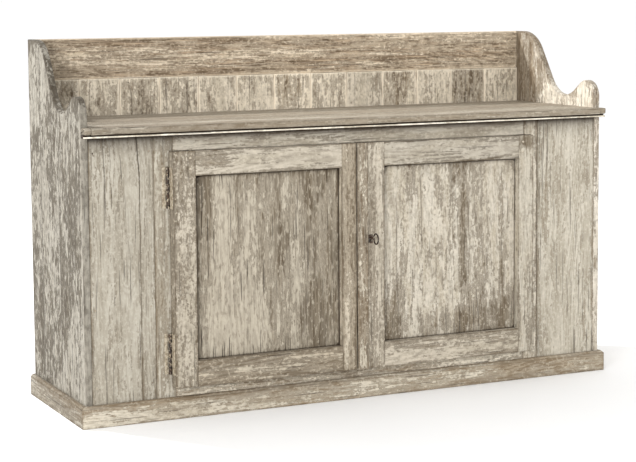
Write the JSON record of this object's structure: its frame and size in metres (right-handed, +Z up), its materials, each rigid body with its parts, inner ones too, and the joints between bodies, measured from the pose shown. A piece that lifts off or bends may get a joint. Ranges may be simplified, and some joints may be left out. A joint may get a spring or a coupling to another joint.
{
  "type": "icebox",
  "caption": "Low wide painted-pine icebox: insulated zinc-lined box with two thick panelled doors, an overhanging counter top and a scrolled gallery back.",
  "frame": {"origin": "centre of the footprint at floor level, the key's bow included in the depth", "axes": "+X along the front from the left door to the right door, +Y from the front to the back, +Z up"},
  "size_m": [1.9, 0.636, 1.174],
  "materials": {
    "painted_pine": "old off-white paint flaking off grey-brown pine, matt",
    "worn_pine": "weathered grey-brown pine with scattered remains of off-white paint, matt",
    "bare_pine": "unpainted aged pine, matt",
    "cork": "pressed granulated cork, rough",
    "zinc_sheet": "dull grey zinc sheet with a dry patina",
    "zinc_faced_block": "wooden block packed with cork and faced with dull grey zinc sheet",
    "felt": "dense dark wool felt",
    "dark_iron": "dark brown oxidised iron with specks of paint",
    "steel": "dull worn steel"
  },
  "bodies": {
    "cabinet": {"left_side_board": "painted_pine", "right_side_board": "painted_pine", "top_board": "worn_pine", "top_bead": "painted_pine", "gallery_board": "worn_pine", "gallery_slats": "worn_pine", "back_panel": "worn_pine", "floor_board": "bare_pine", "front_plinth": "painted_pine", "left_plinth": "painted_pine", "right_plinth": "painted_pine", "left_front_board": "painted_pine", "right_front_board": "painted_pine", "left_frame_stile": "painted_pine", "right_frame_stile": "painted_pine", "centre_post": "painted_pine", "top_rail": "painted_pine", "sill_rail": "painted_pine", "back_insulation": "cork", "left_insulation": "cork", "right_insulation": "cork", "floor_insulation": "cork", "ceiling_insulation": "cork", "back_liner": "zinc_sheet", "left_liner": "zinc_sheet", "right_liner": "zinc_sheet", "floor_liner": "zinc_sheet", "partition": "bare_pine", "ice_rack": "bare_pine", "drain_pipe": "zinc_sheet", "lower_shelf": "bare_pine", "upper_shelf": "bare_pine", "left_upper_frame_leaf": "dark_iron", "left_lower_frame_leaf": "dark_iron", "right_upper_frame_leaf": "dark_iron", "right_lower_frame_leaf": "dark_iron"},
    "left_door": {"left_door_outer_stile": "painted_pine", "left_door_inner_stile": "painted_pine", "left_door_top_rail": "painted_pine", "left_door_bottom_rail": "painted_pine", "left_door_panel": "painted_pine", "left_door_plug": "zinc_faced_block", "left_door_gasket": "felt", "left_upper_door_leaf": "dark_iron", "left_lower_door_leaf": "dark_iron"},
    "right_door": {"right_door_outer_stile": "painted_pine", "right_door_inner_stile": "painted_pine", "right_door_top_rail": "painted_pine", "right_door_bottom_rail": "painted_pine", "right_door_panel": "painted_pine", "right_door_plug": "zinc_faced_block", "right_door_gasket": "felt", "right_upper_door_leaf": "dark_iron", "right_lower_door_leaf": "dark_iron", "closing_strip": "painted_pine", "escutcheon": "dark_iron", "lock_case": "dark_iron"},
    "lock_bolt": {"lock_bolt": "steel"},
    "key": {"key": "dark_iron"},
    "flush_bolt": {"flush_bolt": "steel"}
  },
  "joints": [
    {"name": "left_door_hinge", "type": "hinge", "parent": "cabinet", "child": "left_door", "pos_m": [-0.66, -0.224, 0.5], "axis": [0, 0, -1], "range_deg": [0, 100]},
    {"name": "right_door_hinge", "type": "hinge", "parent": "cabinet", "child": "right_door", "pos_m": [0.646, -0.224, 0.5], "axis": [0, 0, 1], "range_deg": [0, 100]},
    {"name": "key_turn", "type": "hinge", "parent": "right_door", "child": "key", "pos_m": [0.021, -0.26, 0.53], "axis": [0, 1, 0], "range_deg": [0, 180]},
    {"name": "lock_bolt_slide", "type": "slide", "parent": "right_door", "child": "lock_bolt", "axis": [-1, 0, 0], "range_m": [0, 0.012]},
    {"name": "flush_bolt_slide", "type": "slide", "parent": "left_door", "child": "flush_bolt", "axis": [0, 0, 1], "range_m": [0, 0.026]}
  ],
  "couplings": [
    {"joint": "key_turn", "follows": "lock_bolt_slide", "rad_per_m": 261.79}
  ]
}
